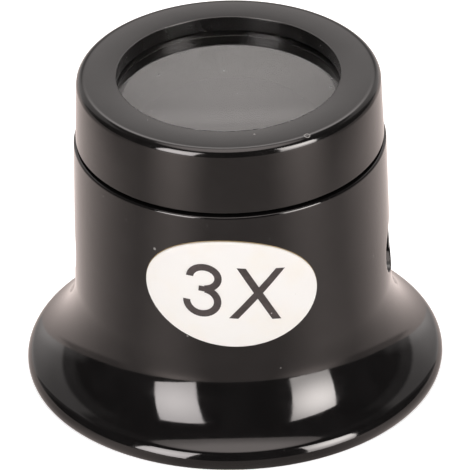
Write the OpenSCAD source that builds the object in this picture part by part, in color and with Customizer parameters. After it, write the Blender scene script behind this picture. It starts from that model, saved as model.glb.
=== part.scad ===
// Single-lens eye loupe: a flared eyecup with a screw cap that holds one glass lens, and an oval label.
// Z is the optical axis. The loupe stands on its rim at z = 0, and the label faces -Y.
// The lens sets the neck around it, the neck sets the cap, and the cap sets the barrel. The rim has its own size.

/* [Lens] */
// Diameter of the lens
lens_d = 21.6; // [20:0.1:23]
// Thickness of the lens at its edge
lens_edge_t = 1.24; // [1:0.02:1.8]
// Magnification that the lens is made for
magnification = 3; // [2.5:0.1:4]
// Refractive index of the glass
glass_index = 1.523; // [1.5:0.001:1.6]
// Clearance around the lens in its pocket
pocket_gap = 0.15; // [0.1:0.05:0.3]
// Clearance over and under the lens
lens_play = 0.03; // [0.02:0.01:0.06]

/* [Neck and lens seat] */
// Thickness of the neck's wall around the lens, under the thread
neck_wall = 0.8; // [0.7:0.05:1.2]
// Width of the ledge's ring that the lens rests on
seat_w = 1.2; // [0.8:0.1:1.6]
// Thickness of the ledge
ledge_t = 1.2; // [0.8:0.1:1.6]
// How far the ledge stands in from the bore below it
ledge_step = 0.6; // [0.3:0.1:0.9]
// Space between the top of the neck and the lip of the cap
neck_gap = 0.4; // [0.3:0.1:0.8]

/* [Screw thread] */
// Pitch of the thread
thread_pitch = 1.2; // [1.1:0.05:1.3]
// Turns of thread on the neck
neck_turns = 2.6; // [1.5:0.1:2.7]
// Turns of thread in the cap
cap_turns = 2.4; // [1.5:0.1:2.5]
// Height of a thread ridge
thread_depth = 0.45; // [0.3:0.05:0.5]
// Width of a thread ridge at its root
thread_root_w = 0.8; // [0.6:0.05:0.8]
// Width of a thread ridge at its crest
thread_crest_w = 0.33; // [0.25:0.02:0.35]
// Clearance between the crest of one thread and the root of the other
thread_gap = 0.15; // [0.15:0.05:0.3]

/* [Cap] */
// Thickness of the cap's wall at its lower edge
cap_wall = 1.2; // [1:0.05:1.6]
// Draft of the cap's side, in degrees
cap_draft = 2.35; // [0:0.05:3]
// Height of the cap from its lower edge to its top face
cap_h = 6.1; // [5.9:0.1:8]
// Groove between the shoulder and the cap
cap_gap = 0.27; // [0.2:0.01:0.5]
// Radius of the rounded edge at the top of the cap
cap_round = 0.75; // [0.4:0.05:1]
// How far the lip around the sight opening reaches over the lens
lip_w = 1; // [0.6:0.1:1.6]
// Thickness of the lip
lip_t = 1.39; // [1.2:0.01:1.8]

/* [Barrel] */
// How far the barrel's shoulder stands out past the cap's lower edge
shoulder_step = 0.18; // [0:0.02:0.6]
// Height of the shoulder, under the cap
shoulder_h = 22.9; // [22:0.1:26]
// Height of the waist, where the flare begins
waist_h = 8.6; // [7:0.2:9.4]
// Draft of the barrel, in degrees
barrel_draft = 1.4; // [0.2:0.1:2]
// Thickness of the barrel's wall
wall = 1.6; // [1.2:0.1:2]
// Thickness of the web under the neck
web_t = 1.5; // [1:0.1:2]

/* [Rim] */
// Outer diameter of the rim that sits in the eye socket
rim_d = 37.2; // [34:0.2:41]
// Width of the rim, from its outer edge to the inner edge of its flat face
rim_w = 1.2; // [0.8:0.1:1.6]
// Radius of the rim's rounded edge
rim_round = 1.3; // [0.9:0.1:1.6]
// Height at which the rounded edge is widest
rim_wide_h = 0.6; // [0.3:0.1:0.8]

/* [Vents] */
// Diameter of each vent hole
vent_d = 5.2; // [3:0.2:5.4]
// Height of the vents' common axis over the waist
vent_rise = 3.4; // [2.8:0.1:6]
// Turn of the vents' axis away from the X axis, in degrees
vent_turn = 4; // [0:1:15]

/* [Label] */
// Length of the oval label along the barrel's surface
label_w = 15.5; // [10:0.1:17]
// Height of the oval label
label_h = 10.5; // [6:0.1:11]
// How far the label sits below the middle of the barrel
label_drop = 0.45; // [-1.5:0.05:1.5]
// Turn of the label around the barrel, away from the front, in degrees
label_turn = -0.8; // [-10:0.1:10]
// Tilt of the label, in degrees
label_tilt = -6.5; // [-10:0.5:10]
// Thickness of the label
label_t = 0.12; // [0.08:0.02:0.2]
// Layer of glue under the label
glue_t = 0.02; // [0.01:0.01:0.05]

/* [Edges] */
// Width of the small chamfers on sharp edges
edge_break = 0.12; // [0.05:0.01:0.15]

/* [Hidden] */
$fn = 128;
// Steps for one turn of a thread
thread_steps = 32;
// Depth that a ridge is sunk into its wall, and the part of a turn over which its ends fade into the wall
ridge_sink = 0.2;
ridge_fade = 0.12;
// Points on the outline of the label
label_points = 72;
// Distance past a face that a cut runs
over = 1;
// Nearest distance of distinct vision, which magnification refers to
near_point = 250;

// Radii of the lens, its pocket, the bore and the neck, and of the cap's bore, edge and sight opening
lens_r = lens_d / 2;
pocket_r = lens_r + pocket_gap;
ledge_r = lens_r - seat_w;
bore_r = ledge_r + ledge_step;
neck_r = pocket_r + neck_wall;
cap_bore_r = neck_r + thread_depth + thread_gap;
cap_r = cap_bore_r + cap_wall;
opening_r = lens_r - lip_w;

// Corners of the barrel's outside, and the direction that its surface faces, as [outward, up]
shoulder = [cap_r + shoulder_step, shoulder_h];
waist = [barrel_r(waist_h), waist_h];
draft_normal = [cos(barrel_draft), sin(barrel_draft)];
web_h = shoulder_h - web_t;

// The rim's edge is a circle, and the flare is a larger one outside that touches both it and the barrel
rim_r = rim_d / 2;
rim_mid = [rim_r - rim_round, rim_wide_h];
rim_mid_to_waist = waist - rim_mid;
flare_r = (rim_mid_to_waist * rim_mid_to_waist - rim_round * rim_round)
    / (2 * (rim_round - rim_mid_to_waist * draft_normal));
flare_mid = waist + flare_r * draft_normal;
crest = rim_mid + rim_round * unit(flare_mid - rim_mid);

// Inside the flare another circle touches the barrel's inner wall and meets the inner edge of the rim's face
inner_waist = waist - [wall, 0];
inner_rim = [rim_r - rim_w, 0];
rim_to_waist = inner_waist - inner_rim;
inner_flare_r = -(rim_to_waist * rim_to_waist) / (2 * (rim_to_waist * draft_normal));
inner_flare_mid = inner_waist + inner_flare_r * draft_normal;

cap_base_h = shoulder_h + cap_gap;
cap_top_h = cap_base_h + cap_h;
lip_h = cap_top_h - lip_t;
neck_top_h = lip_h - neck_gap;

// A lens that is flat below and domed above has its focal length from the radius of its dome
focal_length = near_point / (magnification - 1);
dome_r = focal_length * (glass_index - 1);
dome_mid_h = lip_h - lens_play - sqrt(dome_r * dome_r - opening_r * opening_r);
lens_base_h = dome_mid_h + sqrt(dome_r * dome_r - lens_r * lens_r) - lens_edge_t;
seat_h = lens_base_h - lens_play;

// Both threads start at the same side, half a pitch apart in height, so that the ridges pass each other
thread_start_h = cap_base_h + thread_root_w / 2 + edge_break;

vent_h = waist_h + vent_rise;
label_mid_h = (waist_h + shoulder_h) / 2 - label_drop;

function unit(v) = v / norm(v);
function barrel_r(h) = shoulder.x + (shoulder_h - h) * tan(barrel_draft);

// Height of a ridge at a place along it, from 0 at its start to 1 at its end
function ridge_rise(place, turns) = min(1, place * turns / ridge_fade, (1 - place) * turns / ridge_fade);

// Corner points of a ridge's section at one place, from its sunk root to its crest and back
function ridge_section(wall_r, out, place, turns) =
    let (
        turn = 360 * turns * place,
        h = thread_pitch * turns * place,
        rise = ridge_rise(place, turns),
        root_r = wall_r - out * ridge_sink,
        crest_r = root_r + out * (ridge_sink / 2 + (thread_depth + ridge_sink / 2) * rise)
    )
    [for (corner = [[root_r, -thread_root_w], [crest_r, -thread_crest_w], [crest_r, thread_crest_w],
            [root_r, thread_root_w]])
        [corner.x * cos(turn), corner.x * sin(turn), h + corner.y / 2]];

// A helical ridge on a round wall, standing outwards for out = 1 and inwards for out = -1
module thread_ridge(wall_r, turns, out) {
    steps = round(turns * thread_steps);
    sections = [for (i = [0:steps]) ridge_section(wall_r, out, i / steps, turns)];
    corners = len(sections[0]);
    sides = [for (i = [0:steps - 1], k = [0:corners - 1])
        let (a = corners * i + k, b = corners * i + (k + 1) % corners)
        each [[a, b, b + corners], [a, b + corners, a + corners]]];
    last = corners * steps;
    ends = [[3, 2, 1, 0], [last, last + 1, last + 2, last + 3]];
    faces = concat(sides, ends);
    turned = [for (f = faces) [for (i = [len(f) - 1:-1:0]) f[i]]];
    polyhedron(points = [for (section = sections) each section], faces = out > 0 ? faces : turned);
}

// Half section of the body's outside, without the neck
module body_outside() {
    difference() {
        union() {
            polygon([[0, 0], [rim_mid.x, 0], rim_mid, crest, waist, shoulder - [0, edge_break],
                shoulder - [edge_break, 0], [0, shoulder_h]]);
            intersection() {
                translate(rim_mid) circle(rim_round);
                square([rim_r, rim_wide_h + rim_round]);
            }
        }
        translate(flare_mid) circle(flare_r);
    }
}

// Half section of the hollow inside the barrel and the flare
module body_hollow() {
    difference() {
        polygon([[0, -over], [inner_rim.x, -over], inner_rim, inner_waist, [barrel_r(web_h) - wall, web_h],
            [0, web_h]]);
        translate(inner_flare_mid) circle(inner_flare_r);
    }
}

// Half section of the neck, with the ledge and the pocket for the lens
module neck_section() {
    polygon([[bore_r, web_h], [neck_r, web_h], [neck_r, neck_top_h - edge_break],
        [neck_r - edge_break, neck_top_h], [pocket_r, neck_top_h], [pocket_r, seat_h], [ledge_r, seat_h],
        [ledge_r, seat_h - ledge_t], [bore_r, seat_h - ledge_t]]);
}

module eyecup_body() {
    color([0.03, 0.03, 0.03]) union() {
        difference() {
            rotate_extrude() {
                difference() {
                    body_outside();
                    body_hollow();
                    square([bore_r, shoulder_h + over]);
                }
                neck_section();
            }
            rotate([0, 0, -vent_turn]) translate([-rim_r, 0, vent_h]) rotate([0, 90, 0])
                cylinder(d = vent_d, h = rim_d);
        }
        translate([0, 0, thread_start_h]) thread_ridge(neck_r, neck_turns, 1);
    }
}

// Half section of the cap
module cap_section() {
    side_normal = [cos(cap_draft), sin(cap_draft)];
    top_r = cap_r - cap_h * tan(cap_draft);
    round_mid = [top_r - cap_round * (1 - sin(cap_draft)) / cos(cap_draft), cap_top_h - cap_round];
    union() {
        polygon([[cap_bore_r + edge_break, cap_base_h], [cap_r - edge_break, cap_base_h],
            [cap_r, cap_base_h + edge_break], round_mid + cap_round * side_normal, round_mid,
            [round_mid.x, cap_top_h], [opening_r + edge_break, cap_top_h], [opening_r, cap_top_h - edge_break],
            [opening_r, lip_h], [cap_bore_r, lip_h], [cap_bore_r, cap_base_h + edge_break]]);
        translate(round_mid) circle(cap_round);
    }
}

module lens_cap() {
    color([0.04, 0.04, 0.04]) union() {
        rotate_extrude() cap_section();
        translate([0, 0, thread_start_h + thread_pitch / 2]) thread_ridge(cap_bore_r, cap_turns, -1);
    }
}

module lens() {
    color([0.8, 0.86, 0.85, 0.5]) intersection() {
        translate([0, 0, lens_base_h]) cylinder(r = lens_r, h = lip_h);
        translate([0, 0, dome_mid_h]) sphere(r = dome_r, $fn = 360);
    }
}

// Outline of the label as it is seen from the front, when its oval is wrapped round the barrel
module label_outline() {
    wrap_r = barrel_r(label_mid_h);
    polygon([for (i = [0:label_points - 1])
        let (
            turn = 360 * i / label_points,
            across = label_w / 2 * cos(turn),
            up = label_h / 2 * sin(turn),
            along = across * cos(label_tilt) - up * sin(label_tilt),
            high = across * sin(label_tilt) + up * cos(label_tilt)
        )
        [wrap_r * sin(along / wrap_r * 180 / PI), high]]);
}

module label() {
    low = label_mid_h - label_h;
    high = label_mid_h + label_h;
    color([0.95, 0.94, 0.92]) rotate([0, 0, label_turn]) intersection() {
        rotate_extrude() polygon([[barrel_r(low) + glue_t, low], [barrel_r(low) + glue_t + label_t, low],
            [barrel_r(high) + glue_t + label_t, high], [barrel_r(high) + glue_t, high]]);
        translate([0, 0, label_mid_h]) rotate([90, 0, 0]) linear_extrude(waist.x + over) label_outline();
    }
}

eyecup_body();
lens_cap();
lens();
label();
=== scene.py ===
import math
from functools import reduce

import bmesh
import bpy
from bpy.props import FloatProperty, FloatVectorProperty, PointerProperty
from mathutils import Matrix, Vector


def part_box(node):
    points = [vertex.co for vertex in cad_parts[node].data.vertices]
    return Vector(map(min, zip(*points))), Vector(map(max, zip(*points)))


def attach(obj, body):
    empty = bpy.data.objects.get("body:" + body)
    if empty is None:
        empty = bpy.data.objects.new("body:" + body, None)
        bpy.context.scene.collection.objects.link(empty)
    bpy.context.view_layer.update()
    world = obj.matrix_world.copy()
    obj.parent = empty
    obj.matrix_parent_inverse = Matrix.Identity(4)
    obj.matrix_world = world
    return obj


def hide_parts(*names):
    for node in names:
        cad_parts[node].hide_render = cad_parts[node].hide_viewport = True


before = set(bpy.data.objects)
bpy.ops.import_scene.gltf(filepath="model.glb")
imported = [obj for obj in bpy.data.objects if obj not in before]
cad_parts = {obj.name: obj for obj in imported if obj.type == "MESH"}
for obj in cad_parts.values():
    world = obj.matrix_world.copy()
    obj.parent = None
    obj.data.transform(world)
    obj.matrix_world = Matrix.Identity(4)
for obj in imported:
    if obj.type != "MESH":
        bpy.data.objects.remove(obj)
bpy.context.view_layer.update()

bl_info = {
    "name": "Eye loupe",
    "version": (1, 0, 0),
    "blender": (4, 5, 0),
    "location": "View3D > Sidebar > Eye loupe",
    "description": "Builds an eye loupe with a screw cap, a glass lens and a label round its packed solids",
    "category": "Object",
}

MM = 0.001
BODY_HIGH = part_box("eyecup_body")[1]
CAP_LOW, CAP_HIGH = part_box("lens_cap")
LENS_LOW, LENS_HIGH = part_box("lens")


def length(name, description, default):
    """A length property, in metres."""
    return FloatProperty(name=name, description=description, default=default, unit="LENGTH", precision=5)


def angle(name, description, degrees):
    """An angle property with its default in degrees."""
    return FloatProperty(name=name, description=description, default=math.radians(degrees), unit="ROTATION")


def colour(name, description, default):
    """A colour property, linear."""
    return FloatVectorProperty(name=name, description=description, default=default, size=3, subtype="COLOR",
                               min=0.0, max=1.0)


def factor(name, description, default):
    """A plain number property."""
    return FloatProperty(name=name, description=description, default=default, min=0.0)


class LoupeBodySettings(bpy.types.PropertyGroup):
    """Sizes and colour of the eyecup body"""
    rim_radius: length("Rim radius", "Outer radius of the rim", round(BODY_HIGH.y, 5))
    rim_width: length("Rim width", "From the rim's outside to the inner edge of its flat face", 1.2 * MM)
    rim_round: length("Rim rounding", "Radius of the rim's rounded edge", 1.3 * MM)
    rim_wide_height: length("Widest height", "Height at which the rim is widest", 0.6 * MM)
    waist_height: length("Waist height", "Height at which the flare begins", 8.6 * MM)
    shoulder_radius: length("Shoulder radius", "Radius of the barrel under the cap", 13.73 * MM)
    shoulder_height: length("Shoulder height", "Height of the barrel's shoulder", 22.9 * MM)
    shoulder_round: length("Shoulder rounding", "Radius of the shoulder's edge", 0.2 * MM)
    draft: angle("Barrel draft", "Draft of the barrel's side", 1.4)
    wall: length("Wall", "Thickness of the barrel's wall", 1.6 * MM)
    web: length("Web", "Thickness of the web under the neck", 1.5 * MM)
    vent_radius: length("Vent radius", "Radius of the two vent holes", 2.6 * MM)
    vent_height: length("Vent height", "Height of the vents' axis", 12.0 * MM)
    vent_turn: angle("Vent turn", "Turn of the vents' axis away from the X axis", -4.0)
    neck_radius: length("Neck radius", "Radius of the neck at the root of its thread", 11.75 * MM)
    neck_top: length("Neck top", "Height of the neck's top", round(BODY_HIGH.z, 5))
    pocket_radius: length("Pocket radius", "Radius of the pocket for the lens", 10.95 * MM)
    pocket_depth: length("Pocket depth", "Depth of the pocket from the neck's top to the ledge", 1.06 * MM)
    bore_radius: length("Bore radius", "Radius inside the neck, below the ledge", 10.2 * MM)
    ledge_radius: length("Ledge radius", "Radius of the opening in the lens's ledge", 9.6 * MM)
    ledge_thickness: length("Ledge thickness", "Thickness of the lens's ledge", 1.2 * MM)
    tone: colour("Plastic", "Colour of the moulded plastic", (0.0062, 0.0056, 0.0056))


class LoupeCapSettings(bpy.types.PropertyGroup):
    """Sizes and colour of the screw cap"""
    radius: length("Cap radius", "Radius of the cap at its lower edge", round(CAP_HIGH.y, 5))
    draft: angle("Cap draft", "Draft of the cap's side", 2.35)
    bottom: length("Cap bottom", "Height of the cap's lower edge", round(CAP_LOW.z, 5))
    top: length("Cap top", "Height of the cap's top face", round(CAP_HIGH.z, 5))
    edge_round: length("Edge rounding", "Radius of the rounded edge at the top", 0.75 * MM)
    bore_radius: length("Bore radius", "Radius inside the cap at the root of its thread", 12.35 * MM)
    opening_radius: length("Opening radius", "Radius of the sight opening", 9.8 * MM)
    lip: length("Lip", "Thickness of the lip over the lens", 1.39 * MM)
    dish: length("Dish", "How much the middle of the top ring lies under its edges", 0.03 * MM)
    tone: colour("Plastic", "Colour of the moulded plastic", (0.0066, 0.006, 0.0058))


class LoupeThreadSettings(bpy.types.PropertyGroup):
    """Sizes of the two screw threads"""
    pitch: length("Pitch", "Rise of the thread in one turn", 1.2 * MM)
    depth: length("Depth", "Height of a ridge over its wall", 0.45 * MM)
    root_width: length("Root width", "Width of a ridge at its root", 0.8 * MM)
    crest_width: length("Crest width", "Width of a ridge at its crest", 0.33 * MM)
    start: length("Start height", "Height at which the neck's ridge starts", 23.69 * MM)
    neck_turns: factor("Neck turns", "Turns of thread on the neck", 2.6)
    cap_turns: factor("Cap turns", "Turns of thread in the cap", 2.4)


class LoupeLensSettings(bpy.types.PropertyGroup):
    """Sizes and glass of the lens"""
    radius: length("Lens radius", "Radius of the lens", round(LENS_HIGH.y, 5))
    base: length("Lens base", "Height of the lens's flat side", round(LENS_LOW.z, 5))
    top: length("Lens top", "Height of the dome's top", round(LENS_HIGH.z, 5))
    edge_thickness: length("Edge thickness", "Thickness of the lens at its edge", 1.24 * MM)
    index: factor("Refractive index", "Refractive index of the glass", 1.523)


class LoupeLabelSettings(bpy.types.PropertyGroup):
    """Sizes and colours of the label and its print"""
    width: length("Label width", "Length of the oval along the barrel", 15.5 * MM)
    height: length("Label height", "Height of the oval", 10.5 * MM)
    middle: length("Label middle", "Height of the label's middle", 15.3 * MM)
    turn: angle("Label turn", "Turn of the label away from the front", -0.8)
    tilt: angle("Label tilt", "Tilt of the label and its print", -6.5)
    thickness: length("Label thickness", "Thickness of the label", 0.12 * MM)
    glue: length("Glue", "Thickness of the glue under the label", 0.02 * MM)
    stroke: length("Stroke", "Width of the printed strokes", 0.64 * MM)
    vinyl: colour("Vinyl", "Colour of the label", (0.88, 0.845, 0.815))
    ink: colour("Ink", "Colour of the print", (0.036, 0.027, 0.026))


class LoupeStageSettings(bpy.types.PropertyGroup):
    """The camera and the lights"""
    camera_distance: length("Camera distance", "From the camera to the loupe's axis", 512.0 * MM)
    camera_elevation: angle("Camera elevation", "Angle of the camera above the table", 32.023)
    camera_roll: angle("Camera roll", "Turn of the camera around its own axis", -1.389)
    aim_side: length("Aim side", "Where the camera looks, sideways", 0.234 * MM)
    aim_height: length("Aim height", "Where the camera looks, upwards", 12.602 * MM)
    field: factor("Focal ratio", "Focal length over the width of the picture", 12.2838)
    softbox_strength: factor("Softbox strength", "Brightness of the two softboxes in reflections", 14.0)
    ceiling_strength: factor("Ceiling strength", "Brightness of the ceiling in reflections", 3.1)
    backdrop_strength: factor("Backdrop strength", "Brightness of the surroundings behind", 1.05)
    front_strength: factor("Front strength", "Brightness of the dark studio in front", 0.03)
    key_power: factor("Key power", "Power of the two side lights, in watts", 2.3)
    top_power: factor("Top power", "Power of the light overhead, in watts", 3.8)


# Outlines in a half section, as (radius, height)

CORNER_STEPS = 4
LENS_ROWS = 12
# Roundings of small corners, and the distance from a rounding to the point that keeps its neighbour flat
CREASE = 0.05 * MM
EDGE = 0.1 * MM
SOFT_EDGE = 0.12 * MM
SUPPORT = 0.05 * MM
# How far the open window round a vent reaches past the hole, and the rows that it is divided into
VENT_MARGIN = 0.4 * MM
VENT_ROWS = 20
# Angles in degrees: from the rim's foot to the next point of its arc, and from the inner arc's end to the rim
FOOT_ARC = 8
RIM_GAP = 3
# Share of the cap's dished ring that has points; its roundings take the rest
DISH_SHARE = 0.9


def arc_point(middle, radius, degrees):
    """The point of an arc at an angle."""
    turn = math.radians(degrees)
    return (middle[0] + radius * math.cos(turn), middle[1] + radius * math.sin(turn))


def arc_points(middle, radius, start, end, steps):
    """Points on an arc from one angle to another, in degrees."""
    return [arc_point(middle, radius, start + (end - start) * i / steps) for i in range(steps + 1)]


def soft_corner(before, corner, after, radius):
    """Points that round a corner off, with a point just before and after to keep its neighbours flat."""
    here = Vector(corner)
    back, ahead = Vector(before) - here, Vector(after) - here
    room_back, room_ahead = back.length, ahead.length
    back.normalize()
    ahead.normalize()
    half = back.angle(ahead) / 2
    reach = radius / math.tan(half)
    middle = here + (back + ahead).normalized() * (radius / math.sin(half))
    first, last = here + back * reach - middle, here + ahead * reach - middle
    turn = first.angle_signed(last)
    points = [middle + Matrix.Rotation(-turn * i / CORNER_STEPS, 2) @ first for i in range(CORNER_STEPS + 1)]
    if room_back > reach + 2 * SUPPORT:
        points.insert(0, here + back * (reach + SUPPORT))
    if room_ahead > reach + 2 * SUPPORT:
        points.append(here + ahead * (reach + SUPPORT))
    return [tuple(p) for p in points]


def corner_run(corners):
    """Points of a run of corners, each (radius, height, rounding). The two ends only give directions."""
    points = []
    for before, corner, after in zip(corners, corners[1:], corners[2:]):
        points += soft_corner(before[:2], corner[:2], after[:2], corner[2])
    return points


def polar(middle, point):
    """Angle in degrees of a point seen from a middle, from 0 to 360."""
    return math.degrees(math.atan2(point[1] - middle[1], point[0] - middle[0])) % 360


def barrel_radius(body, height):
    """Radius of the barrel's outside at a height."""
    return body.shoulder_radius + (body.shoulder_height - height) * math.tan(body.draft)


class EyecupOutline:
    """The body's closed half section, and which of its rows run past the vents outside and inside"""

    def __init__(self, s):
        self.s = s
        self.waist = Vector((self.outer(s.waist_height), s.waist_height))
        self.facing = Vector((math.cos(s.draft), math.sin(s.draft)))
        self.inner_rim = Vector((s.rim_radius - s.rim_width, 0))
        half_window = s.vent_radius + VENT_MARGIN
        self.rows = [s.vent_height + half_window * (2 * i / VENT_ROWS - 1) for i in range(VENT_ROWS + 1)]
        inner_flare = self.inner_flare()
        self.points = self.rim_and_flare(inner_flare[-1])
        self.outer_first = len(self.points)
        self.points += [(self.outer(h), h) for h in self.rows]
        self.outer_last = len(self.points) - 1
        self.points += self.shoulder_and_neck()
        self.inner_first = len(self.points)
        self.points += [(self.inner(h), h) for h in reversed(self.rows)]
        self.inner_last = len(self.points) - 1
        self.points += inner_flare

    def outer(self, height):
        """Radius of the barrel's outside at a height."""
        return barrel_radius(self.s, height)

    def inner(self, height):
        """Radius of the barrel's inside at a height."""
        return self.outer(height) - self.s.wall

    def inner_flare(self):
        """Points from the waist down the flare's inside, to just before the rim's flat face."""
        waist = self.waist - Vector((self.s.wall, 0))
        to_waist = waist - self.inner_rim
        flare = -to_waist.dot(to_waist) / (2 * to_waist.dot(self.facing))
        middle = waist + self.facing * flare
        end = polar(middle, self.inner_rim) - RIM_GAP
        return arc_points(middle, flare, polar(middle, waist), end, steps=40)

    def rim_and_flare(self, rim_end):
        """Points from the rim's flat face round its edge and up the flare's outside to the waist."""
        s = self.s
        rim_middle = Vector((s.rim_radius - s.rim_round, s.rim_wide_height))
        to_waist = self.waist - rim_middle
        sag = s.rim_round - to_waist.dot(self.facing)
        flare = (to_waist.dot(to_waist) - s.rim_round ** 2) / (2 * sag)
        flare_middle = self.waist + self.facing * flare
        crest_angle = polar(rim_middle, flare_middle)
        foot_angle = -math.degrees(math.asin(s.rim_wide_height / s.rim_round))
        foot = arc_point(rim_middle, s.rim_round, foot_angle)
        edge = arc_points(rim_middle, s.rim_round, foot_angle + FOOT_ARC, crest_angle, steps=18)
        side = arc_points(flare_middle, flare, crest_angle + 180, polar(flare_middle, self.waist), steps=56)
        points = soft_corner(rim_end, self.inner_rim, foot, SOFT_EDGE)
        points += soft_corner(self.inner_rim, foot, edge[0], 0.06 * MM)[:-1]
        return points + edge + side[1:]

    def shoulder_and_neck(self):
        """Points from the barrel's outside over the shoulder, neck and ledge to the barrel's inside."""
        s = self.s
        top = self.rows[-1]
        seat = s.neck_top - s.pocket_depth
        ledge = seat - s.ledge_thickness
        web = s.shoulder_height - s.web
        return corner_run([
            (self.outer(top), top, 0),
            (s.shoulder_radius, s.shoulder_height, s.shoulder_round),
            (s.neck_radius, s.shoulder_height, EDGE),
            (s.neck_radius, s.neck_top, SOFT_EDGE),
            (s.pocket_radius, s.neck_top, EDGE),
            (s.pocket_radius, seat, CREASE),
            (s.ledge_radius, seat, EDGE),
            (s.ledge_radius, ledge, EDGE),
            (s.bore_radius, ledge, CREASE),
            (s.bore_radius, web, EDGE),
            (self.inner(web), web, 0.3 * MM),
            (self.inner(top), top, 0),
        ])


def cap_top(s):
    """Points round the cap's top edge and over its dished ring, to just before the sight opening."""
    top_radius = s.radius - (s.top - s.bottom) * math.tan(s.draft)
    middle = (top_radius - s.edge_round * (1 - math.sin(s.draft)) / math.cos(s.draft), s.top - s.edge_round)
    half_ring = (middle[0] - s.opening_radius) / 2
    dish = (half_ring ** 2 + s.dish ** 2) / (2 * s.dish)
    dish_middle = (s.opening_radius + half_ring, s.top - s.dish + dish)
    lean = math.degrees(math.asin(half_ring / dish))
    edge = arc_points(middle, s.edge_round, math.degrees(s.draft), 90 + lean, steps=14)
    return edge + arc_points(dish_middle, dish, lean * DISH_SHARE - 90, -lean * DISH_SHARE - 90, steps=10)


def cap_outline(s):
    """The cap's closed half section."""
    lip = s.top - s.lip
    top = cap_top(s)
    points = corner_run([
        (s.bore_radius, lip, 0),
        (s.bore_radius, s.bottom, SOFT_EDGE),
        (s.radius, s.bottom, 0.16 * MM),
        (*top[0], 0),
    ])
    points += top
    points += corner_run([
        (*top[-1], 0),
        (s.opening_radius, s.top, 0.07 * MM),
        (s.opening_radius, lip, EDGE),
        (s.bore_radius, lip, CREASE),
        (s.bore_radius, s.bottom, 0),
    ])
    return points


def lens_outline(s):
    """The lens's half section, from the middle of its flat side to the top of its dome."""
    rise = s.top - s.base - s.edge_thickness
    dome = (s.radius ** 2 + rise ** 2) / (2 * rise)
    rim_angle = math.degrees(math.acos(s.radius / dome))
    # The dome's first two points give way to its rounded rim
    arc = arc_points((0, s.top - dome), dome, rim_angle, 90, steps=36)[2:]
    flat = [(s.radius * i / LENS_ROWS, s.base) for i in range(LENS_ROWS)]
    rim = corner_run([
        (*flat[-1], 0),
        (s.radius, s.base, 0.14 * MM),
        (s.radius, s.base + s.edge_thickness, SOFT_EDGE),
        (*arc[0], 0),
    ])
    return flat + rim + arc


# Meshes

AROUND = 288
LENS_AROUND = 192
# Columns of the window round a vent, steps from it in to the hole, and the hole's rounded edge
VENT_COLUMNS = 22
VENT_STEPS = 5
VENT_EDGE = 0.12 * MM
VENT_EDGE_STEPS = 4


def place_on_ring(radius, height, turn):
    """A point at a radius and height, turned about Z."""
    return Vector((radius * math.cos(turn), radius * math.sin(turn), height))


def add_band_faces(mesh, rows):
    """Quads from each row of vertices to the next, and from the last row to the first."""
    for row, next_row in zip(rows, rows[1:] + rows[:1]):
        for i in range(len(row) - 1):
            mesh.faces.new((row[i], row[i + 1], next_row[i + 1], next_row[i]))


def finished_piece(name, mesh, material, nodes, body):
    """Turns a bmesh into a smooth piece that stands for CAD nodes and rides on a body."""
    bmesh.ops.remove_doubles(mesh, verts=mesh.verts, dist=1e-7)
    bmesh.ops.dissolve_degenerate(mesh, edges=mesh.edges, dist=1e-8)
    bmesh.ops.recalc_face_normals(mesh, faces=mesh.faces)
    data = bpy.data.meshes.new(name)
    mesh.to_mesh(data)
    mesh.free()
    data.shade_smooth()
    data.materials.append(material)
    return dressed_piece(name, data, nodes, body)


def dressed_piece(name, data, nodes, body):
    """Links a mesh as a piece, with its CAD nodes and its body."""
    piece = bpy.data.objects.new(name, data)
    bpy.context.scene.collection.objects.link(piece)
    if nodes:
        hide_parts(*nodes)
    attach(piece, body)
    return piece


def turned_mesh(points, around, start=0.0, closed=True, skip=()):
    """A half section turned about Z. Each skip is (first column, columns, first row, last row) left open."""
    mesh = bmesh.new()
    ring = [[mesh.verts.new(place_on_ring(r, h, start + math.tau * i / around)) for r, h in points]
            for i in range(around)]
    count = len(points)
    for i in range(around):
        for j in range(count if closed else count - 1):
            if any((i - first) % around < columns and low <= j < high for first, columns, low, high in skip):
                continue
            here, there = ring[i], ring[(i + 1) % around]
            up = (j + 1) % count
            mesh.faces.new((here[j], there[j], there[up], here[up]))
    return mesh


def vent_windows(outline):
    """The parts of the turned body that are left open for the two vents, outside and inside."""
    windows = []
    for middle in (0, AROUND // 2):
        first = (middle - VENT_COLUMNS // 2) % AROUND
        windows.append((first, VENT_COLUMNS, outline.outer_first, outline.outer_last))
        windows.append((first, VENT_COLUMNS, outline.inner_first, outline.inner_last))
    return windows


def vent_places(rows):
    """Places around a vent's window, each (column, height), once round."""
    half = VENT_COLUMNS // 2
    places = [(i, rows[0]) for i in range(-half, half)]
    places += [(half, h) for h in rows[:-1]]
    places += [(i, rows[-1]) for i in range(half, -half, -1)]
    places += [(-half, h) for h in reversed(rows[1:])]
    return places


def vent_spoke(s, radius_at, column, height, middle_turn):
    """Points on one face of the wall from the window's edge to the hole, and the spoke's direction."""
    turn = math.tau * column / AROUND
    radius = radius_at(height)
    start = Vector((radius * math.sin(turn), height - s.vent_height))
    direction = math.atan2(start.y, start.x)
    end = Vector((math.cos(direction), math.sin(direction))) * (s.vent_radius + VENT_EDGE)
    points = [place_on_ring(radius, height, middle_turn + turn)]
    for k in range(1, VENT_STEPS + 1):
        flat = start.lerp(end, k / VENT_STEPS)
        level = s.vent_height + flat.y
        reach = radius_at(level)
        points.append(place_on_ring(reach, level, middle_turn + math.asin(flat.x / reach)))
    return points, direction


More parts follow.
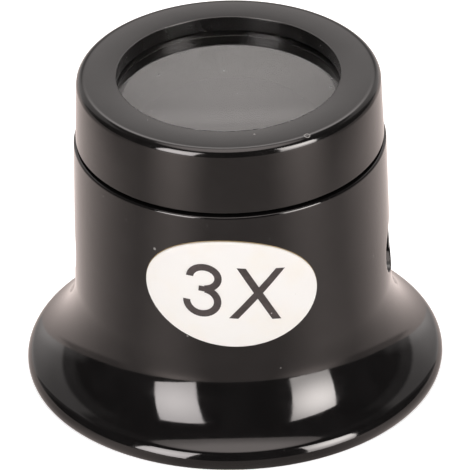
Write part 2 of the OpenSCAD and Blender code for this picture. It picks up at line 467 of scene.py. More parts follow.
def vent_edge(s, radius_at, inward, direction, middle_turn):
    """Points from a face of the wall over the hole's edge; inward is 1 outside the wall and -1 inside."""
    facing = Vector((math.cos(middle_turn), math.sin(middle_turn), 0))
    across = Vector((-facing.y, facing.x, 0))
    spread = s.vent_radius + VENT_EDGE
    sideways, level = spread * math.cos(direction), s.vent_height + spread * math.sin(direction)
    depth = math.sqrt(radius_at(level) ** 2 - sideways ** 2)
    points = []
    for k in range(VENT_EDGE_STEPS + 1):
        a = math.pi / 2 * k / VENT_EDGE_STEPS
        out = s.vent_radius + VENT_EDGE * (1 - math.sin(a))
        along = depth - inward * VENT_EDGE * (1 - math.cos(a))
        height = s.vent_height + out * math.sin(direction)
        points.append(facing * along + across * (out * math.cos(direction)) + Vector((0, 0, height)))
    return points


def add_vent(mesh, outline, middle_turn):
    """Closes a vent's window with a round hole through the wall, with softened edges."""
    s = outline.s
    rows = []
    for column, height in vent_places(outline.rows):
        outside, direction = vent_spoke(s, outline.outer, column, height, middle_turn)
        inside, _ = vent_spoke(s, outline.inner, column, height, middle_turn)
        outer_edge = vent_edge(s, outline.outer, 1, direction, middle_turn)
        inner_edge = vent_edge(s, outline.inner, -1, direction, middle_turn)
        path = outside + outer_edge[1:] + inner_edge[::-1] + inside[-2::-1]
        rows.append([mesh.verts.new(p) for p in path])
    add_band_faces(mesh, rows)


# Nodes

def wire(tree, node, **inputs):
    """Fills a node's inputs, by name or by number after _, with values or other nodes' outputs."""
    for key, value in inputs.items():
        socket = node.inputs[int(key[1:])] if key[0] == "_" else node.inputs[key.replace("_", " ")]
        if isinstance(value, bpy.types.NodeSocket):
            tree.links.new(value, socket)
        else:
            socket.default_value = value


def new_node(tree, kind, settings=None, **inputs):
    """A node with its settings and inputs."""
    made = tree.nodes.new(kind)
    for key, value in (settings or {}).items():
        setattr(made, key, value)
    wire(tree, made, **inputs)
    return made


def result(tree, kind, settings=None, **inputs):
    """The first output of a new node."""
    return new_node(tree, kind, settings, **inputs).outputs[0]


def maths(tree, operation, first, second=0.0, third=0.0):
    """The result of a maths node."""
    return result(tree, "ShaderNodeMath", {"operation": operation}, _0=first, _1=second, _2=third)


def total(tree, *values):
    """The sum of some values."""
    return reduce(lambda first, second: maths(tree, "ADD", first, second), values)


def product(tree, first, second):
    """The product of two values."""
    return maths(tree, "MULTIPLY", first, second)


def away_from(tree, place, middle=(0, 0, 0)):
    """How far a place is from a point."""
    apart = new_node(tree, "ShaderNodeVectorMath", {"operation": "DISTANCE"}, _0=place, _1=tuple(middle))
    return apart.outputs["Value"]


def axis_radius(tree, place):
    """How far a place is from the Z axis."""
    parts = new_node(tree, "ShaderNodeSeparateXYZ", Vector=place).outputs
    return away_from(tree, result(tree, "ShaderNodeCombineXYZ", X=parts["X"], Y=parts["Y"]))


def ramp(tree, value, low, high, to_low=0.0, to_high=1.0):
    """A value mapped smoothly from one range to another."""
    return result(tree, "ShaderNodeMapRange", {"interpolation_type": "SMOOTHSTEP"}, Value=value,
                  From_Min=low, From_Max=high, To_Min=to_low, To_Max=to_high)


# Threads, made by geometry nodes

THREAD_SIZES = ("Wall Radius", "Start Height", "Pitch", "Turns", "Depth", "Sink", "Root Width",
                "Crest Width", "Side")
THREAD_STEPS = 96
THREAD_SINK = 0.1 * MM
THREAD_ROUND = 0.06 * MM
# Turns over which a ridge's ends fade, and the share of its section that is left at the very end
THREAD_FADE = 0.12
THREAD_END = 0.08


def thread_line(tree, given):
    """The winding line that a ridge follows, a little inside its wall."""
    sunk = product(tree, given["Sink"], given["Side"])
    radius = maths(tree, "SUBTRACT", given["Wall Radius"], sunk)
    rise = product(tree, given["Pitch"], given["Turns"])
    helix = result(tree, "GeometryNodeCurveSpiral", Resolution=THREAD_STEPS, Rotations=given["Turns"],
                   Start_Radius=radius, End_Radius=radius, Height=rise)
    lift = result(tree, "ShaderNodeCombineXYZ", Z=given["Start Height"])
    raised = result(tree, "GeometryNodeTransform", Geometry=helix, Translation=lift)
    return result(tree, "GeometryNodeSetCurveNormal", {"mode": "Z_UP"}, Curve=raised)


def thread_fade(tree, turns):
    """Share of the full section at each place along a ridge, small at both ends."""
    along = new_node(tree, "GeometryNodeSplineParameter").outputs["Factor"]
    place = product(tree, along, turns)
    nearest = maths(tree, "MINIMUM", place, maths(tree, "SUBTRACT", turns, place))
    fade = maths(tree, "DIVIDE", nearest, THREAD_FADE)
    return maths(tree, "MAXIMUM", maths(tree, "MINIMUM", fade, 1.0), THREAD_END)


def thread_section(tree, given):
    """A ridge's section with rounded corners, standing on its line and pointing out of its wall."""
    tall = total(tree, given["Depth"], given["Sink"])
    flat = result(tree, "GeometryNodeCurvePrimitiveQuadrilateral", {"mode": "TRAPEZOID"}, Height=tall,
                  Bottom_Width=given["Root Width"], Top_Width=given["Crest Width"], Offset=0.0)
    half_up = result(tree, "ShaderNodeCombineXYZ", Y=product(tree, tall, 0.5))
    standing = result(tree, "GeometryNodeTransform", Geometry=flat, Translation=half_up)
    soft = result(tree, "GeometryNodeFilletCurve", {"mode": "POLY"}, Curve=standing, Count=3,
                  Radius=THREAD_ROUND)
    turn = result(tree, "ShaderNodeCombineXYZ", Z=product(tree, given["Side"], math.pi / 2))
    return result(tree, "GeometryNodeTransform", Geometry=soft, Rotation=turn)


def thread_tree():
    """A ridge of trapezoid section that winds up a round wall, with ends that sink into it."""
    tree = bpy.data.node_groups.new("Thread ridge", "GeometryNodeTree")
    tree.interface.new_socket(name="Ridge", in_out="OUTPUT", socket_type="NodeSocketGeometry")
    for name in THREAD_SIZES:
        tree.interface.new_socket(name=name, in_out="INPUT", socket_type="NodeSocketFloat")
    tree.interface.new_socket(name="Material", in_out="INPUT", socket_type="NodeSocketMaterial")
    given = new_node(tree, "NodeGroupInput").outputs
    swept = result(tree, "GeometryNodeCurveToMesh", Curve=thread_line(tree, given), Fill_Caps=True,
                   Profile_Curve=thread_section(tree, given), Scale=thread_fade(tree, given["Turns"]))
    smooth = result(tree, "GeometryNodeSetShadeSmooth", Geometry=swept)
    real = result(tree, "GeometryNodeRealizeInstances", Geometry=smooth)
    painted = result(tree, "GeometryNodeSetMaterial", Geometry=real, Material=given["Material"])
    new_node(tree, "NodeGroupOutput", Ridge=painted)
    return tree


def make_thread(name, values, node, body):
    """A thread ridge as a plain mesh, made by the thread tree."""
    tree = bpy.data.node_groups.get("Thread ridge") or thread_tree()
    maker = bpy.data.objects.new(name + "_maker", bpy.data.meshes.new(name + "_maker"))
    bpy.context.scene.collection.objects.link(maker)
    modifier = maker.modifiers.new("Thread", "NODES")
    modifier.node_group = tree
    for item in tree.interface.items_tree:
        if item.in_out == "INPUT":
            modifier[item.identifier] = values[item.name]
    bpy.context.view_layer.update()
    evaluated = maker.evaluated_get(bpy.context.evaluated_depsgraph_get())
    data = bpy.data.meshes.new_from_object(evaluated)
    data.name = name
    bpy.data.objects.remove(maker)
    if not data.polygons:
        raise RuntimeError(f"the thread tree made no mesh for {name}")
    return dressed_piece(name, data, [node], body)


# Materials, with colours linear and the fineness of a pattern in cells per metre

DUST = (0.22, 0.21, 0.2, 1.0)
DUST_CELLS = 480.0
GRIME = (0.35, 0.3, 0.25, 1.0)
GREEN_GLASS = (0.985, 0.995, 0.985, 1.0)
CLEAR_GLASS = (0.995, 1.0, 0.995, 1.0)
BARE_VINYL = (0.6, 0.57, 0.55, 1.0)
YELLOW_GLUE = (0.5, 0.36, 0.16, 1.0)
BROWN_GLUE = (0.24, 0.17, 0.1, 1.0)
PLASTIC_INDEX = 1.49
MATT_BLEND = 0.1 * MM


def new_material(name):
    """A node material, with its tree, its shader and the object's own coordinates."""
    material = bpy.data.materials.new(name)
    material.use_nodes = True
    tree = material.node_tree
    shader = tree.nodes["Principled BSDF"]
    place = tree.nodes.new("ShaderNodeTexCoord").outputs["Object"]
    return material, tree, shader, place


def noise(tree, place, cells, detail=2.0):
    """Value of a noise texture, from 0 to 1."""
    return result(tree, "ShaderNodeTexNoise", Vector=place, Scale=cells, Detail=detail)


def blend_colour(tree, share, first, second):
    """Two colours mixed by a share."""
    mix = new_node(tree, "ShaderNodeMix", {"data_type": "RGBA"}, _0=share, _6=first, _7=second)
    return mix.outputs[2]


def bump(tree, height, distance, normal=None):
    """A bump of a height in metres, on top of another bump if given."""
    made = new_node(tree, "ShaderNodeBump", Strength=1.0, Distance=distance, Height=height)
    if normal:
        wire(tree, made, Normal=normal)
    return made.outputs[0]


def speck_mask(tree, place, cells, size):
    """Small round specks scattered through space, with their size as a share of a cell."""
    specks = new_node(tree, "ShaderNodeTexVoronoi", Vector=place, Scale=cells).outputs
    pick = result(tree, "ShaderNodeSeparateColor", Color=specks["Color"])
    return maths(tree, "LESS_THAN", specks["Distance"], product(tree, pick, size))


def spot_mask(tree, place, middle, radius):
    """A soft round spot on the surface at one place."""
    return ramp(tree, away_from(tree, place, middle), radius * 0.6, radius, 1.0, 0.0)


def ring_mask(tree, place, middle, radius, width):
    """A thin ring on the surface at one place."""
    off = maths(tree, "ABSOLUTE", maths(tree, "SUBTRACT", away_from(tree, place, middle), radius))
    return ramp(tree, off, width * 0.4, width, 1.0, 0.0)


def rgba(values):
    """Three colour values with full alpha."""
    return (*values, 1.0)


def wear_mask(tree, place, marks):
    """Specks of dust and a few marks of use, each mark as a mask function with its sizes."""
    worn = product(tree, speck_mask(tree, place, DUST_CELLS, 0.035), 0.6)
    for mask, *sizes in marks:
        worn = maths(tree, "MAXIMUM", worn, mask(tree, place, *sizes))
    return worn


def plastic_material(name, tone, gloss, ripple, matt_radius, matt_rough, marks):
    """Polished black moulded plastic with faint ripples and marks of use, matt inside a radius."""
    material, tree, shader, place = new_material(name)
    worn = wear_mask(tree, place, marks)
    cloud = ramp(tree, noise(tree, place, 420.0, 4.0), 0.35, 0.7)
    base = blend_colour(tree, cloud, rgba(tone), rgba([min(1.0, v * 1.4) for v in tone]))
    base = blend_colour(tree, worn, base, DUST)
    polish = ramp(tree, noise(tree, place, 900.0, 3.0), 0.3, 0.75, gloss * 0.8, gloss * 1.3)
    matt = ramp(tree, axis_radius(tree, place), matt_radius, matt_radius + MATT_BLEND, matt_rough, 0.0)
    rough = total(tree, polish, product(tree, worn, 0.3), matt)
    normal = bump(tree, noise(tree, place, 170.0, 1.0), ripple)
    normal = bump(tree, noise(tree, place, 1100.0), ripple * 0.1, normal)
    normal = bump(tree, worn, 4e-6, normal)
    wire(tree, shader, IOR=PLASTIC_INDEX, Base_Color=base, Roughness=rough, Normal=normal)
    return material


def glass_material(index):
    """Clear optical glass with a breath of dust."""
    material, tree, shader, place = new_material("lens glass")
    dust = speck_mask(tree, place, 540.0, 0.06)
    tint = blend_colour(tree, noise(tree, place, 60.0), GREEN_GLASS, CLEAR_GLASS)
    wire(tree, shader, Transmission_Weight=1.0, IOR=index, Base_Color=tint,
         Roughness=product(tree, dust, 0.3), Normal=bump(tree, dust, 2e-6))
    return material


def vinyl_material(tone):
    """Off-white label vinyl, with faint mottling and a slightly yellowed surface."""
    material, tree, shader, place = new_material("label vinyl")
    warm = rgba([tone[0], tone[1] * 0.965, tone[2] * 0.9])
    mottle = ramp(tree, noise(tree, place, 330.0, 4.0), 0.4, 0.85, 0.0, 0.7)
    grime = product(tree, speck_mask(tree, place, DUST_CELLS, 0.05), 0.5)
    base = blend_colour(tree, grime, blend_colour(tree, mottle, rgba(tone), warm), GRIME)
    rough = ramp(tree, noise(tree, place, 1400.0, 3.0), 0.3, 0.7, 0.42, 0.55)
    normal = bump(tree, noise(tree, place, 5200.0), 3e-6)
    normal = bump(tree, noise(tree, place, 260.0), 6e-6, normal)
    wire(tree, shader, Specular_IOR_Level=0.35, Base_Color=base, Roughness=rough, Normal=normal)
    return material


def ink_material(tone):
    """Printing ink with pinholes where the vinyl shows through."""
    material, tree, shader, place = new_material("label ink")
    mottle = ramp(tree, noise(tree, place, 2600.0, 3.0), 0.3, 0.8)
    base = blend_colour(tree, mottle, rgba(tone), rgba([v * 1.6 for v in tone]))
    holes = product(tree, speck_mask(tree, place, 900.0, 0.11), 0.7)
    base = blend_colour(tree, holes, base, BARE_VINYL)
    rough = ramp(tree, mottle, 0.0, 1.0, 0.4, 0.55)
    normal = bump(tree, noise(tree, place, 4200.0), 3e-6)
    wire(tree, shader, Base_Color=base, Roughness=rough, Normal=normal)
    return material


def glue_material():
    """Yellowed glue that shows as a thin line round the label."""
    material, tree, shader, place = new_material("label glue")
    base = blend_colour(tree, noise(tree, place, 700.0, 3.0), YELLOW_GLUE, BROWN_GLUE)
    rough = ramp(tree, noise(tree, place, 1500.0), 0.3, 0.7, 0.25, 0.4)
    normal = bump(tree, noise(tree, place, 2000.0), 6e-6)
    wire(tree, shader, Base_Color=base, Roughness=rough, Normal=normal)
    return material


# The label and its print, drawn flat around the label's middle and wrapped on the barrel

OVAL_STEPS = 160
# The label's rounded edge, and how far the glue shows and reaches under the label
LABEL_EDGE = 0.05 * MM
GLUE_SPREAD = 0.07 * MM
GLUE_UNDER = 0.1 * MM
# How far the ink sinks into the vinyl and stands on it, and the step that keeps crossing strokes apart
INK_SINK = 0.02 * MM
INK_LIFT = 0.012 * MM
INK_STEP = 0.0005 * MM

# The figure three and the cross that follows it, in millimetres from a point beside the label's middle
PRINT_MIDDLE = (0.21, -0.13)
THREE_TOP = {"middle": (-2.74, 1.48), "reach": (1.24, 1.07), "start": 181, "end": -82}
THREE_FOOT = {"middle": (-2.66, -0.87), "reach": (1.35, 1.24), "start": 84, "end": -177}
THREE_BAR = {"start": (-3.08, 0.39), "end": (-2.4, 0.39), "half": (0.0, 0.25), "steps": 4}
CROSS_DOWN = {"start": (0.38, 2.83), "end": (3.95, -2.23), "half": (0.395, 0.0), "steps": 14}
CROSS_UP = {"start": (0.2, -2.23), "end": (3.82, 2.83), "half": (0.395, 0.0), "steps": 14}


class LabelWrap:
    """Places a point of the flat label on the barrel"""

    def __init__(self, label, body):
        self.label = label
        self.body = body
        self.radius = barrel_radius(body, label.middle)

    def point(self, across, up, lift):
        """A point of the tilted label, lifted off the barrel."""
        tilt = self.label.tilt
        along = across * math.cos(tilt) - up * math.sin(tilt)
        height = self.label.middle + across * math.sin(tilt) + up * math.cos(tilt)
        turn = along / self.radius + self.label.turn - math.pi / 2
        return place_on_ring(barrel_radius(self.body, height) + lift, height, turn)


def oval_mesh(wrap, path):
    """A closed oval skin. The path across it is of (share of the oval, inset from its edge, lift)."""
    mesh = bmesh.new()
    rows = []
    for i in range(OVAL_STEPS):
        turn = math.tau * i / OVAL_STEPS
        row = []
        for share, inset, lift in path:
            across = (wrap.label.width / 2 - inset) * share * math.cos(turn)
            up = (wrap.label.height / 2 - inset) * share * math.sin(turn)
            row.append(mesh.verts.new(wrap.point(across, up, lift)))
        rows.append(row)
    add_band_faces(mesh, rows)
    return mesh


def make_label_skin(wrap, top):
    """The vinyl oval with its rounded edge."""
    s = wrap.label
    edge = LABEL_EDGE
    path = [(share, 0, top) for share in (0.0, 0.25, 0.5, 0.75, 0.9)]
    path += [(1.0, 1.6 * edge, top), (1.0, edge, top), (1.0, 0.3 * edge, top - 0.25 * edge),
             (1.0, 0, top - edge)]
    path += [(share, 0, s.glue) for share in (1.0, 0.6, 0.0)]
    finished_piece("label_skin", oval_mesh(wrap, path), vinyl_material(s.vinyl), ["label"], "eyecup")


def make_label_glue(wrap):
    """The thin bead of glue that shows round the label."""
    glue = wrap.label.glue
    path = [(1.0, GLUE_UNDER, glue), (1.0, 0, glue * 1.5), (1.0, -GLUE_SPREAD * 0.5, glue * 1.6),
            (1.0, -GLUE_SPREAD, glue * 0.4), (1.0, -GLUE_SPREAD, -glue), (1.0, GLUE_UNDER, -glue),
            (1.0, GLUE_UNDER, glue)]
    finished_piece("label_glue", oval_mesh(wrap, path), glue_material(), [], "eyecup")


def stroke_mesh(wrap, edges, low, high):
    """A printed stroke from pairs of left and right points, as a thin closed solid."""
    mesh = bmesh.new()
    rows = []
    for left, right in edges:
        middle = ((left[0] + right[0]) / 2, (left[1] + right[1]) / 2)
        loop = [(*left, low), (*left, high), (*middle, high), (*right, high), (*right, low), (*middle, low)]
        rows.append([mesh.verts.new(wrap.point((x + PRINT_MIDDLE[0]) * MM, (y + PRINT_MIDDLE[1]) * MM, lift))
                     for x, y, lift in loop])
    for row, next_row in zip(rows, rows[1:]):
        for i in range(len(row)):
            k = (i + 1) % len(row)
            mesh.faces.new((row[i], row[k], next_row[k], next_row[i]))
    mesh.faces.new(rows[0])
    mesh.faces.new(list(reversed(rows[-1])))
    return mesh


def bowl_edges(middle, reach, start, end, stroke, steps=28):
    """Edges of a stroke along part of an ellipse, from one angle to another, in degrees."""
    edges = []
    for i in range(steps + 1):
        a = math.radians(start + (end - start) * i / steps)
        centre = Vector((middle[0] + reach[0] * math.cos(a), middle[1] + reach[1] * math.sin(a)))
        out = Vector((math.cos(a) * reach[1], math.sin(a) * reach[0])).normalized() * (stroke / 2)
        edges.append((tuple(centre + out), tuple(centre - out)))
    return edges


def bar_edges(start, end, half, steps):
    """Edges of a straight stroke, cut off along the direction of half."""
    edges = []
    for i in range(steps + 1):
        share = i / steps
        x = start[0] + (end[0] - start[0]) * share
        y = start[1] + (end[1] - start[1]) * share
        edges.append(((x - half[0], y - half[1]), (x + half[0], y + half[1])))
    return edges


def make_print(wrap, top):
    """The printed strokes, each a little higher than the one before."""
    stroke = wrap.label.stroke / MM
    ink = ink_material(wrap.label.ink)
    strokes = {
        "print_three_top": bowl_edges(**THREE_TOP, stroke=stroke),
        "print_three_foot": bowl_edges(**THREE_FOOT, stroke=stroke),
        "print_three_bar": bar_edges(**THREE_BAR),
        "print_cross_down": bar_edges(**CROSS_DOWN),
        "print_cross_up": bar_edges(**CROSS_UP),
    }
    for i, (name, edges) in enumerate(strokes.items()):
        mesh = stroke_mesh(wrap, edges, top - INK_SINK, top + INK_LIFT + i * INK_STEP)
        piece = finished_piece(name, mesh, ink, [], "eyecup")
        piece.data.shade_flat()


# Operators, one for each piece or group of like pieces

# Marks of use on the barrel, each (across, up, radius) from the label's middle, in millimetres
BARREL_MARKS = ((-7.25, 2.85, 0.16), (-3.4, -4.95, 0.1))


class LOUPE_OT_eyecup(bpy.types.Operator):
    """Moulds the eyecup body with its flare, vents and neck"""
    bl_idname = "loupe.eyecup"
    bl_label = "Eyecup body"

    def execute(self, context):
        s = context.scene.loupe_body
        outline = EyecupOutline(s)
        mesh = turned_mesh(outline.points, AROUND, s.vent_turn, skip=vent_windows(outline))
        add_vent(mesh, outline, s.vent_turn)
        add_vent(mesh, outline, s.vent_turn + math.pi)
        wrap = LabelWrap(context.scene.loupe_label, s)
        marks = [(spot_mask, wrap.point(across * MM, up * MM, 0), radius * MM)
                 for across, up, radius in BARREL_MARKS]
        material = plastic_material("body plastic", s.tone, gloss=0.07, ripple=1.6e-5,
                                    matt_radius=12.95 * MM, matt_rough=0.45, marks=marks)
        finished_piece("eyecup_moulding", mesh, material, ["eyecup_body"], "eyecup")
        return {"FINISHED"}


class LOUPE_OT_cap(bpy.types.Operator):
    """Moulds the screw cap with its lip over the lens"""
    bl_idname = "loupe.cap"
    bl_label = "Screw cap"

    def execute(self, context):
        s = context.scene.loupe_cap
        ring_middle = (6.6 * MM, -10.85 * MM, s.top)
        speck_middle = (2.1 * MM, -10.4 * MM, s.top)
        marks = [(ring_mask, ring_middle, 0.24 * MM, 0.07 * MM), (spot_mask, speck_middle, 0.12 * MM)]
        material = plastic_material("cap plastic", s.tone, gloss=0.09, ripple=1.2e-5,
                                    matt_radius=9.83 * MM, matt_rough=0.16, marks=marks)
        mesh = turned_mesh(cap_outline(s), AROUND)
        finished_piece("cap_moulding", mesh, material, ["lens_cap"], "cap")
        return {"FINISHED"}


class LOUPE_OT_threads(bpy.types.Operator):
    """Winds the ridges of the two screw threads onto the neck and into the cap"""
    bl_idname = "loupe.threads"
    bl_label = "Screw threads"

    def execute(self, context):
        scene = context.scene
        s = scene.loupe_thread
        shared = {"Pitch": s.pitch, "Depth": s.depth, "Sink": THREAD_SINK, "Root Width": s.root_width,
                  "Crest Width": s.crest_width}
        neck = {**shared, "Wall Radius": scene.loupe_body.neck_radius, "Start Height": s.start,
                "Turns": s.neck_turns, "Side": 1.0, "Material": bpy.data.materials["body plastic"]}
        cap = {**shared, "Wall Radius": scene.loupe_cap.bore_radius, "Start Height": s.start + s.pitch / 2,
               "Turns": s.cap_turns, "Side": -1.0, "Material": bpy.data.materials["cap plastic"]}
        make_thread("neck_thread", neck, "eyecup_body", "eyecup")
        make_thread("cap_thread", cap, "lens_cap", "cap")
        return {"FINISHED"}


class LOUPE_OT_lens(bpy.types.Operator):
    """Grinds the glass lens, flat below and domed above"""
    bl_idname = "loupe.lens"
    bl_label = "Lens"

    def execute(self, context):
        s = context.scene.loupe_lens
        mesh = turned_mesh(lens_outline(s), LENS_AROUND, closed=False)
        finished_piece("loupe_lens", mesh, glass_material(s.index), ["lens"], "lens")
        return {"FINISHED"}


class LOUPE_OT_label(bpy.types.Operator):
    """Sticks the oval label on the barrel, with its glue line and its printed magnification"""
    bl_idname = "loupe.label"
    bl_label = "Label and print"

    def execute(self, context):
        s = context.scene.loupe_label
        wrap = LabelWrap(s, context.scene.loupe_body)
        top = s.glue + s.thickness
        make_label_skin(wrap, top)
        make_label_glue(wrap)
        make_print(wrap, top)
        return {"FINISHED"}


# The stage: distances in metres, directions as (side, elevation) in degrees seen from the loupe

WHITE = (1.0, 1.0, 1.0)
PANEL_DISTANCE = 0.7
HOT_SPOT_REACH = 0.32
LEFT_BOX = [(-52.8, 5.5), (-26.0, 0.2), (-22.4, 46.6), (-52.9, 44.4)]
RIGHT_BOX = [(35.0, 0.8), (61.6, -1.6), (67.2, 37.0), (38.3, 48.3)]
RIGHT_BOX_GAIN = 1.35
CEILING_DISTANCE = 1.2
CEILING_ELEVATION = 65
TABLE_REACH = 1.5
TABLE_GLOW = 0.6
# The bright parts of the table before the softboxes, each (side, reach)
TABLE_LOBES = ((-38, 26), (49, 28))
# Where the dark studio in front begins, and its height over the table
DARK_FRONT = -0.28
DARK_LIFT = 0.4 * MM
LOUPE_MIDDLE = (0, 0, 0.012)
# How far the backdrop's edges lean forward with height, stand apart, and lie further back on the right
BACKDROP_LEAN = 0.58
BACKDROP_SPREAD = 0.85
BACKDROP_TURN = 0.05
TABLE_TONE = (1.0, 0.86, 0.81, 1.0)
BACKDROP_TONE = (1.0, 0.94, 0.92, 1.0)


def bare_tree(holder):
    """The node tree of a new material or world, with nothing in it."""
    holder.use_nodes = True
    holder.node_tree.nodes.clear()
    return holder.node_tree


def shaded_place(tree):
    """The place that is being shaded, in metres."""
    return new_node(tree, "ShaderNodeNewGeometry").outputs["Position"]


def glow_material(name, tone, strength, spot=None):
    """A glowing surface, brightest at a spot given as (middle, start, reach, share), or plain."""
    material = bpy.data.materials.new(name)
    tree = bare_tree(material)
    if spot:
        middle, start, reach, share = spot
        away = away_from(tree, shaded_place(tree), middle)
        strength = ramp(tree, away, start, reach, strength, strength * share)
    glow = result(tree, "ShaderNodeEmission", Color=rgba(tone), Strength=strength)
    new_node(tree, "ShaderNodeOutputMaterial", Surface=glow)
    return material


def stage_sheet(name, corners, material):
    """A flat sheet of the stage."""
    data = bpy.data.meshes.new(name)
    data.from_pydata([tuple(c) for c in corners], [], [tuple(range(len(corners)))])
    data.materials.append(material)
    sheet = bpy.data.objects.new(name, data)
    bpy.context.scene.collection.objects.link(sheet)
    return sheet


def table_corners(front, back, height):
    """Corners of a sheet that is as wide as the table."""
    return [(-TABLE_REACH, front, height), (TABLE_REACH, front, height), (TABLE_REACH, back, height),
            (-TABLE_REACH, back, height)]


def reflector(name, corners, material):
    """A flat studio panel that only shows in gloss and glass."""
    panel = stage_sheet(name, corners, material)
    panel.visible_camera = False
    panel.visible_diffuse = False
    panel.visible_shadow = False


def direction_point(side, elevation, distance):
    """A point in a direction from the loupe: side in degrees from the camera's side, elevation in degrees."""
    side, elevation = math.radians(side), math.radians(elevation)
    level = math.cos(elevation) * distance
    return Vector((math.sin(side) * level, -math.cos(side) * level, math.sin(elevation) * distance))


def softbox(name, corners, middle, tone, strength, share):
    """A softbox panel with its corners and its hot spot in given directions."""
    spot = (direction_point(*middle, PANEL_DISTANCE), 0.0, HOT_SPOT_REACH, share)
    material = glow_material(name + " glow", tone, strength, spot)
    reflector(name, [direction_point(*corner, PANEL_DISTANCE) for corner in corners], material)


def area_light(name, place, aim, size, power):
    """A soft light that doesn't show in gloss."""
    light = bpy.data.lights.new(name, "AREA")
    light.shape = "DISK"
    light.size = size
    light.energy = power
    lamp = bpy.data.objects.new(name, light)
    bpy.context.scene.collection.objects.link(lamp)
    lamp.location = place
    lamp.rotation_euler = (Vector(aim) - Vector(place)).to_track_quat("-Z", "Y").to_euler()
    lamp.visible_glossy = False
    lamp.visible_camera = False


def table_gloss(tree):
    """How bright the table looks in reflections: dim in front, brighter behind and before each softbox."""
    here = shaded_place(tree)
    parts = new_node(tree, "ShaderNodeSeparateXYZ", Vector=here).outputs
    side = maths(tree, "ARCTAN2", parts["X"], product(tree, parts["Y"], -1.0))
    turn = maths(tree, "ABSOLUTE", side)
    away = axis_radius(tree, here)
    beside = maths(tree, "SUBTRACT", ramp(tree, turn, math.radians(60), math.radians(85)),
                   ramp(tree, turn, math.radians(118), math.radians(132)))
    dim = product(tree, beside, ramp(tree, away, 0.055, 0.08, 0.0, 0.5))
    glow = ramp(tree, turn, math.radians(50), math.radians(120), 0.54, 1.14)
    glow = product(tree, glow, maths(tree, "SUBTRACT", 1.0, dim))
    lobe = ramp(tree, away, 0.03, 0.11, 0.5, 1.7)
    for middle, reach in TABLE_LOBES:
        off = maths(tree, "ABSOLUTE", maths(tree, "SUBTRACT", side, math.radians(middle)))
        share = ramp(tree, off, 0.0, math.radians(reach), 1.0, 0.0)
        glow = maths(tree, "MULTIPLY_ADD", share, lobe, glow)
    return glow


def table_material(covered):
    """Pale table top that glows only outside the radius that the loupe covers."""
    material = bpy.data.materials.new("table top")
    tree = bare_tree(material)
    outside = maths(tree, "GREATER_THAN", axis_radius(tree, shaded_place(tree)), covered)
    paper = result(tree, "ShaderNodeBsdfDiffuse", Color=(0.9, 0.9, 0.9, 1.0))
    glow = result(tree, "ShaderNodeEmission", Color=rgba(WHITE), Strength=product(tree, outside, TABLE_GLOW))
    lit = result(tree, "ShaderNodeAddShader", _0=paper, _1=glow)
    gloss = product(tree, outside, table_gloss(tree))
    mirrored = result(tree, "ShaderNodeEmission", Color=TABLE_TONE, Strength=gloss)
    gloss_ray = new_node(tree, "ShaderNodeLightPath").outputs["Is Glossy Ray"]
    mix = result(tree, "ShaderNodeMixShader", _0=gloss_ray, _1=lit, _2=mirrored)
    new_node(tree, "ShaderNodeOutputMaterial", Surface=mix)
    return material


def backdrop_sides(tree, parts, back):
    """Glow of the backdrop out to its side edges, and of a low band behind the table."""
    sweep = maths(tree, "MULTIPLY_ADD", parts["Z"], BACKDROP_LEAN, parts["Y"])
    sweep = maths(tree, "MULTIPLY_ADD", maths(tree, "ABSOLUTE", parts["X"]), -BACKDROP_SPREAD, sweep)
    sweep = maths(tree, "MULTIPLY_ADD", parts["X"], -BACKDROP_TURN, sweep)
    edge = ramp(tree, sweep, -0.27, -0.12, 0.0, 0.15)
    inside = ramp(tree, sweep, 0.0, 0.08, 0.0, 0.6)
    low = product(tree, ramp(tree, parts["Z"], 0.0, 0.16, 0.25, 0.0), ramp(tree, back, 0.25, 0.4))
    glow = total(tree, edge, inside, low, ramp(tree, back, 0.62, 0.8, 0.0, 0.25))
    glow = product(tree, glow, ramp(tree, parts["Z"], 0.0, 0.6, 1.0, 0.78))
    # The sides end below the ceiling, the middle does not
    fade = maths(tree, "MAXIMUM", ramp(tree, parts["Z"], 0.67, 0.74, 1.0, 0.12), ramp(tree, back, 0.8, 0.9))
    return product(tree, glow, fade)


def backdrop_middle(tree, height, back):
    """What the backdrop's middle adds: less low down, much more as it rises, little near the ceiling."""
    rise = total(tree, ramp(tree, height, 0.36, 0.56, -0.55, 0.5), ramp(tree, height, 0.5, 0.72, 0.0, 2.0))
    rise = maths(tree, "SUBTRACT", rise, ramp(tree, height, 0.73, 0.81, 0.0, 1.9))
    return product(tree, ramp(tree, back, 0.85, 0.97), rise)


def studio_world(s):
    """Surroundings dark round the camera's side, bright behind the loupe, and plain to the camera."""
    world = bpy.data.worlds.new("studio")
    bpy.context.scene.world = world
    tree = bare_tree(world)
    way = new_node(tree, "ShaderNodeTexCoord").outputs["Generated"]
    parts = new_node(tree, "ShaderNodeSeparateXYZ", Vector=way).outputs
    back = maths(tree, "DIVIDE", parts["Y"], axis_radius(tree, way))
    glow = total(tree, backdrop_sides(tree, parts, back), backdrop_middle(tree, parts["Z"], back))
    glow = total(tree, product(tree, glow, s.backdrop_strength), s.front_strength)
    around = result(tree, "ShaderNodeBackground", Color=BACKDROP_TONE, Strength=glow)
    plain = result(tree, "ShaderNodeBackground", Color=rgba(WHITE), Strength=1.0)
    seen = new_node(tree, "ShaderNodeLightPath").outputs["Is Camera Ray"]
    mix = result(tree, "ShaderNodeMixShader", _0=seen, _1=around, _2=plain)
    new_node(tree, "ShaderNodeOutputWorld", Surface=mix)


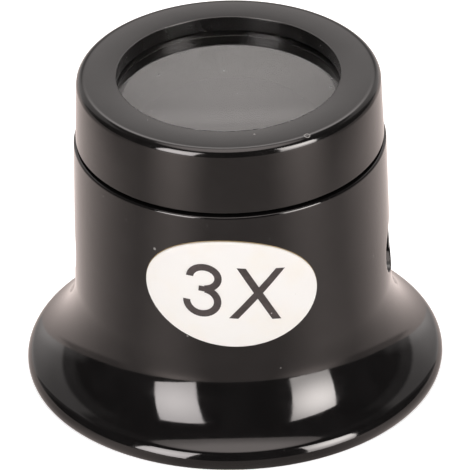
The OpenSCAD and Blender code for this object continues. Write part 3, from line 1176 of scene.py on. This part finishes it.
def set_camera(s):
    """The camera at the photograph's viewing angle."""
    e = s.camera_elevation
    forward = Vector((0, math.cos(e), -math.sin(e)))
    right, up = Vector((1, 0, 0)), Vector((0, math.sin(e), math.cos(e)))
    across = right * math.cos(s.camera_roll) + up * math.sin(s.camera_roll)
    upward = up * math.cos(s.camera_roll) - right * math.sin(s.camera_roll)
    data = bpy.data.cameras.new("camera")
    data.sensor_width = 36.0
    data.lens = data.sensor_width * s.field
    data.clip_start, data.clip_end = 0.01, 20.0
    camera = bpy.data.objects.new("camera", data)
    bpy.context.scene.collection.objects.link(camera)
    turn = Matrix((across, upward, -forward)).transposed()
    place = Vector((s.aim_side, 0, s.aim_height)) - forward * s.camera_distance
    camera.matrix_world = Matrix.Translation(place) @ turn.to_4x4()
    bpy.context.scene.camera = camera


def set_panels(s):
    """The softboxes, the ceiling and the dark studio in front, as the gloss and the glass see them."""
    softbox("softbox_left", LEFT_BOX, middle=(-39, 24), tone=(1.0, 0.94, 0.93),
            strength=s.softbox_strength, share=0.66)
    softbox("softbox_right", RIGHT_BOX, middle=(54, 27), tone=(1.0, 0.94, 0.91),
            strength=s.softbox_strength * RIGHT_BOX_GAIN, share=0.36)
    ceiling = [direction_point(side, CEILING_ELEVATION, CEILING_DISTANCE) for side in range(0, 360, 5)]
    overhead = (Vector((0, 0, ceiling[0].z)), 0.3, 0.5, 0.52)
    glow = glow_material("ceiling glow", (1.0, 0.9, 0.87), s.ceiling_strength, overhead)
    reflector("ceiling_panel", ceiling, glow)
    dark = glow_material("dark studio", WHITE, s.front_strength)
    reflector("dark_front", table_corners(-TABLE_REACH, DARK_FRONT, DARK_LIFT), dark)


class LOUPE_OT_stage(bpy.types.Operator):
    """Sets up the table, the studio's panels and lights, and the camera"""
    bl_idname = "loupe.stage"
    bl_label = "Stage and camera"

    def execute(self, context):
        s = context.scene.loupe_stage
        body = context.scene.loupe_body
        set_camera(s)
        studio_world(s)
        table = table_material(body.rim_radius - body.rim_round)
        stage_sheet("table", table_corners(-TABLE_REACH, TABLE_REACH, 0), table)
        set_panels(s)
        area_light("key_left", place=(-0.5, -0.55, 0.5), aim=LOUPE_MIDDLE, size=0.5, power=s.key_power)
        area_light("key_right", place=(0.55, -0.5, 0.5), aim=LOUPE_MIDDLE, size=0.5, power=s.key_power)
        area_light("top", place=(0, 0.1, 0.9), aim=(0, 0, 0), size=0.8, power=s.top_power)
        view = context.scene.view_settings
        view.view_transform = "Standard"
        view.look = "None"
        return {"FINISHED"}


class VIEW3D_PT_loupe(bpy.types.Panel):
    """Lists the steps that build the loupe"""
    bl_label = "Eye loupe"
    bl_idname = "VIEW3D_PT_loupe"
    bl_space_type = "VIEW_3D"
    bl_region_type = "UI"
    bl_category = "Eye loupe"

    def draw(self, context):
        for step in STEPS:
            self.layout.operator(step.bl_idname)


STEPS = (LOUPE_OT_stage, LOUPE_OT_eyecup, LOUPE_OT_cap, LOUPE_OT_threads, LOUPE_OT_lens, LOUPE_OT_label)
SETTINGS = {
    "loupe_body": LoupeBodySettings,
    "loupe_cap": LoupeCapSettings,
    "loupe_thread": LoupeThreadSettings,
    "loupe_lens": LoupeLensSettings,
    "loupe_label": LoupeLabelSettings,
    "loupe_stage": LoupeStageSettings,
}


def register():
    """Registers the settings, the operators and the panel."""
    for name, group in SETTINGS.items():
        bpy.utils.register_class(group)
        setattr(bpy.types.Scene, name, PointerProperty(type=group))
    for kind in (*STEPS, VIEW3D_PT_loupe):
        bpy.utils.register_class(kind)


def unregister():
    """Removes what register() added."""
    for kind in reversed((*STEPS, VIEW3D_PT_loupe)):
        bpy.utils.unregister_class(kind)
    for name, group in SETTINGS.items():
        delattr(bpy.types.Scene, name)
        bpy.utils.unregister_class(group)


def main():
    register()
    for step in STEPS:
        area, name = step.bl_idname.split(".")
        getattr(getattr(bpy.ops, area), name)()


if __name__ == "__main__":
    main()
